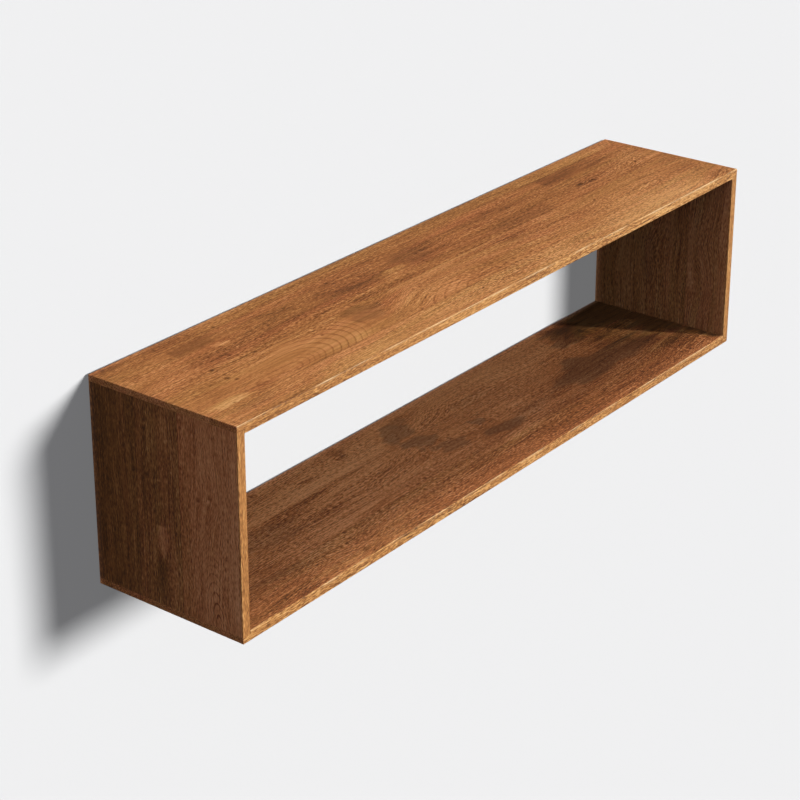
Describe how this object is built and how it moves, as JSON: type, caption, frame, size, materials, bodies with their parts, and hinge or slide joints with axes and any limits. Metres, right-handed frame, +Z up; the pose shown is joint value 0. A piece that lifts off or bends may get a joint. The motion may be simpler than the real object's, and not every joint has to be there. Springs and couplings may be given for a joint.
{
  "type": "wall shelf",
  "caption": "Open rectangular box shelf of oiled hardwood boards, edge-glued from staves, with rebated and dowelled corners, hung on keyhole plates in its rear edges.",
  "frame": {"origin": "the middle of the rear edge of the top board, in the plane of the wall", "axes": "+X runs along the shelf to the right as seen from the room, +Y points into the wall, +Z is up"},
  "size_m": [1.2, 0.25, 0.3],
  "materials": {
    "oiled_mango": "oiled, satin",
    "beech": "bare",
    "plated_steel": "zinc plated"
  },
  "bodies": {
    "root": {"top_stave_rear": "oiled_mango", "top_stave_mid_rear": "oiled_mango", "top_stave_mid_front": "oiled_mango", "top_stave_front": "oiled_mango", "bottom_stave_rear": "oiled_mango", "bottom_stave_middle": "oiled_mango", "bottom_stave_front": "oiled_mango", "left_stave_rear": "oiled_mango", "left_stave_middle": "oiled_mango", "left_stave_front": "oiled_mango", "right_stave_rear": "oiled_mango", "right_stave_middle": "oiled_mango", "right_stave_front": "oiled_mango", "dowel_top_left_1": "beech", "dowel_top_left_2": "beech", "dowel_top_left_3": "beech", "dowel_top_left_4": "beech", "dowel_top_right_1": "beech", "dowel_top_right_2": "beech", "dowel_top_right_3": "beech", "dowel_top_right_4": "beech", "dowel_bottom_left_1": "beech", "dowel_bottom_left_2": "beech", "dowel_bottom_left_3": "beech", "dowel_bottom_left_4": "beech", "dowel_bottom_right_1": "beech", "dowel_bottom_right_2": "beech", "dowel_bottom_right_3": "beech", "dowel_bottom_right_4": "beech", "keyhole_plate_left": "plated_steel", "keyhole_plate_right": "plated_steel", "plate_screw_left_upper": "plated_steel", "plate_screw_left_lower": "plated_steel", "plate_screw_right_upper": "plated_steel", "plate_screw_right_lower": "plated_steel"}
  },
  "joints": []
}
